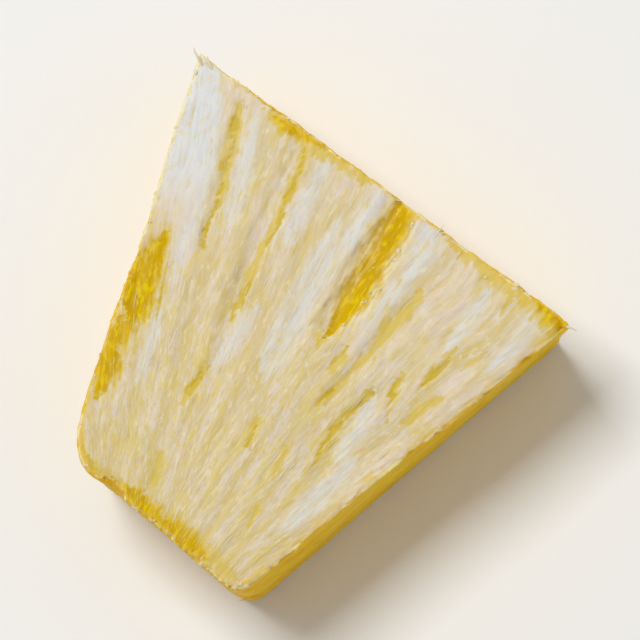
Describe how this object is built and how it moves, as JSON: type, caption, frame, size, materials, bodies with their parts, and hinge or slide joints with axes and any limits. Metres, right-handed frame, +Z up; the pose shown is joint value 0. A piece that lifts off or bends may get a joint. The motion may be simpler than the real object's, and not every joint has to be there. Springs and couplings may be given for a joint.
{
  "type": "cut pineapple chunk",
  "caption": "Wedge-shaped chunk of peeled pineapple from a crosswise slice, with pale fibrous flesh and yellow streaks, lying on its flat cut face.",
  "frame": {"origin": "middle of the foot, under the middle of the chunk's bounding box", "axes": "+Z up, square to the slice faces; +Y along the fruit's radius, from the core side to the rind side; +X across it"},
  "size_m": [0.0468, 0.042, 0.0152],
  "materials": {
    "pineapple_flesh": "moist cut fruit flesh: cream slice faces with yellow fibre streaks, deep yellow sides, a thin film of juice"
  },
  "bodies": {
    "root": {"pineapple_chunk": "pineapple_flesh"}
  },
  "joints": []
}
